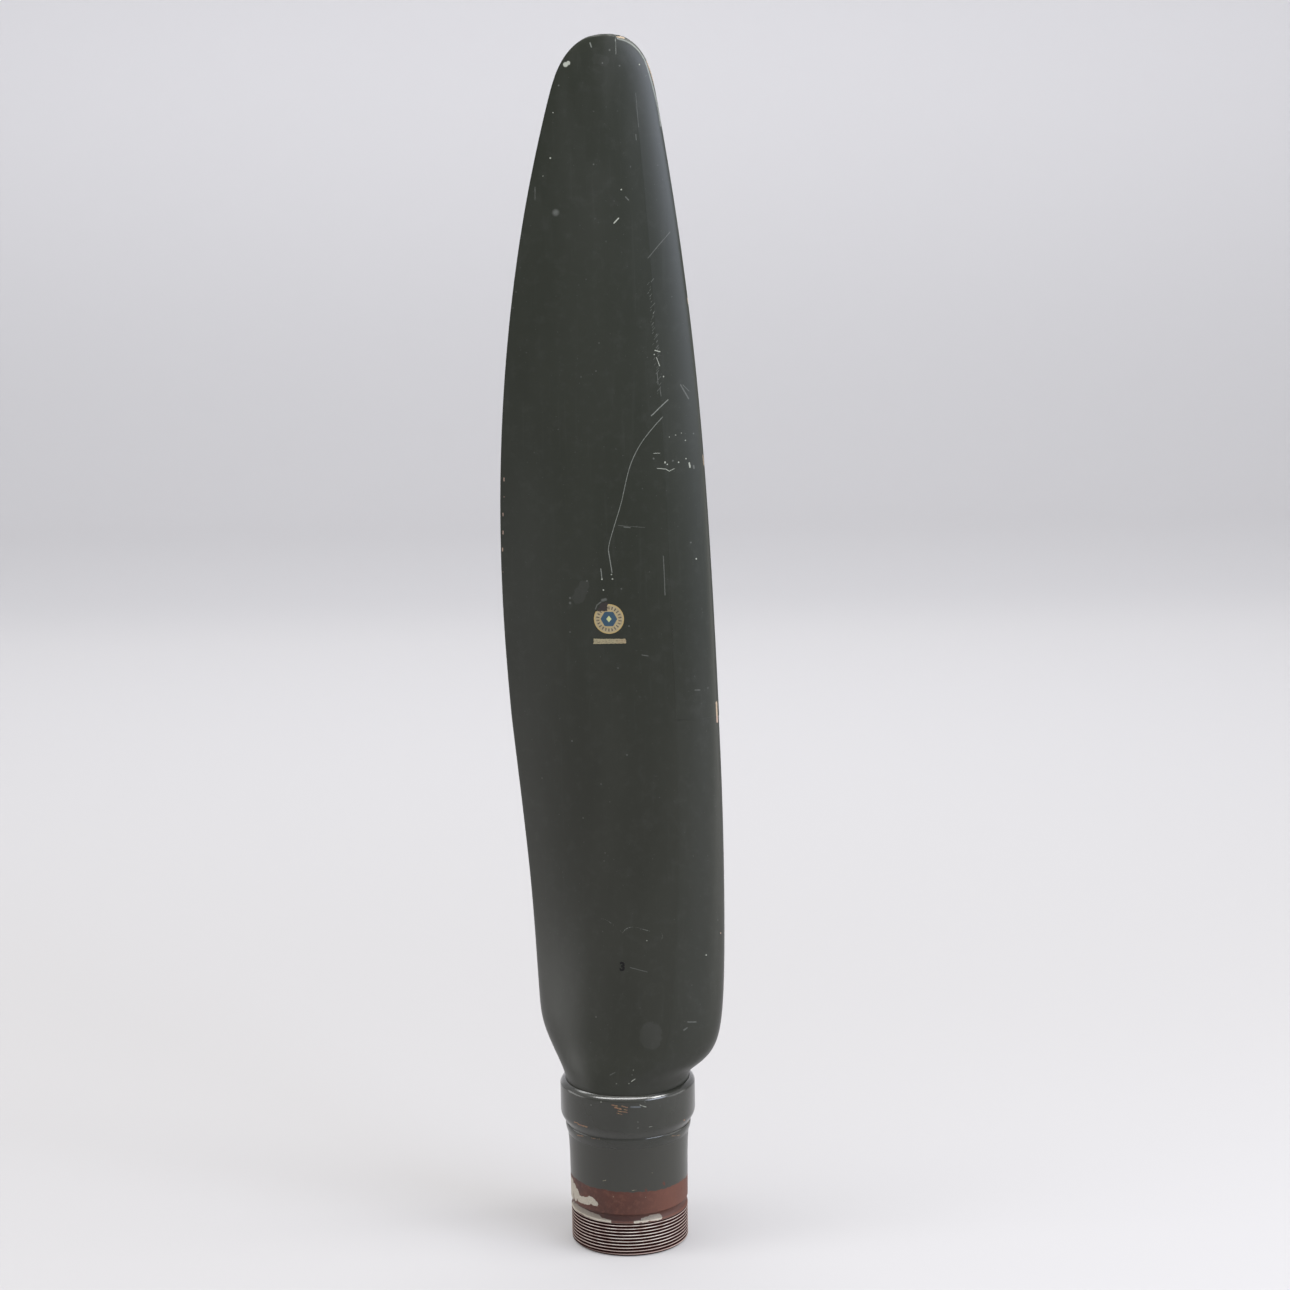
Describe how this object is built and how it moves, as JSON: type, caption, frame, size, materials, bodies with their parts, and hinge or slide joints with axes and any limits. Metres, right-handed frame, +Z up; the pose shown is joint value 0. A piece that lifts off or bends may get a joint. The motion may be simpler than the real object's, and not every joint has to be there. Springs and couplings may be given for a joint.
{
  "type": "propeller blade",
  "caption": "Wooden variable-pitch propeller blade with a painted finish, a metal leading edge sheath and a threaded steel root ferrule, standing on its root end.",
  "frame": {"origin": "centre of the root end face, on the pitch axis, where the blade stands on the floor", "axes": "+Z up the pitch axis to the tip, +X towards the leading edge, -Y out of the cambered side"},
  "size_m": [0.2543, 0.1608, 1.4309],
  "materials": {
    "blade_paint": "satin dark olive paint over wood",
    "sheath_paint": "satin dark olive paint, worn at the edge",
    "collar_paint": "grey-green gloss paint, chipped",
    "seal_steel": "grey-green paint, chipped to red primer",
    "sleeve_steel": "grey-green paint above, red primer below, thread worn to bare steel",
    "plug_metal": "dull turned metal"
  },
  "bodies": {
    "root": {"blade_body": "blade_paint", "leading_edge_sheath": "sheath_paint", "ferrule_collar": "collar_paint", "ferrule_seal_ring": "seal_steel", "ferrule_sleeve": "sleeve_steel", "root_plug": "plug_metal"}
  },
  "joints": []
}
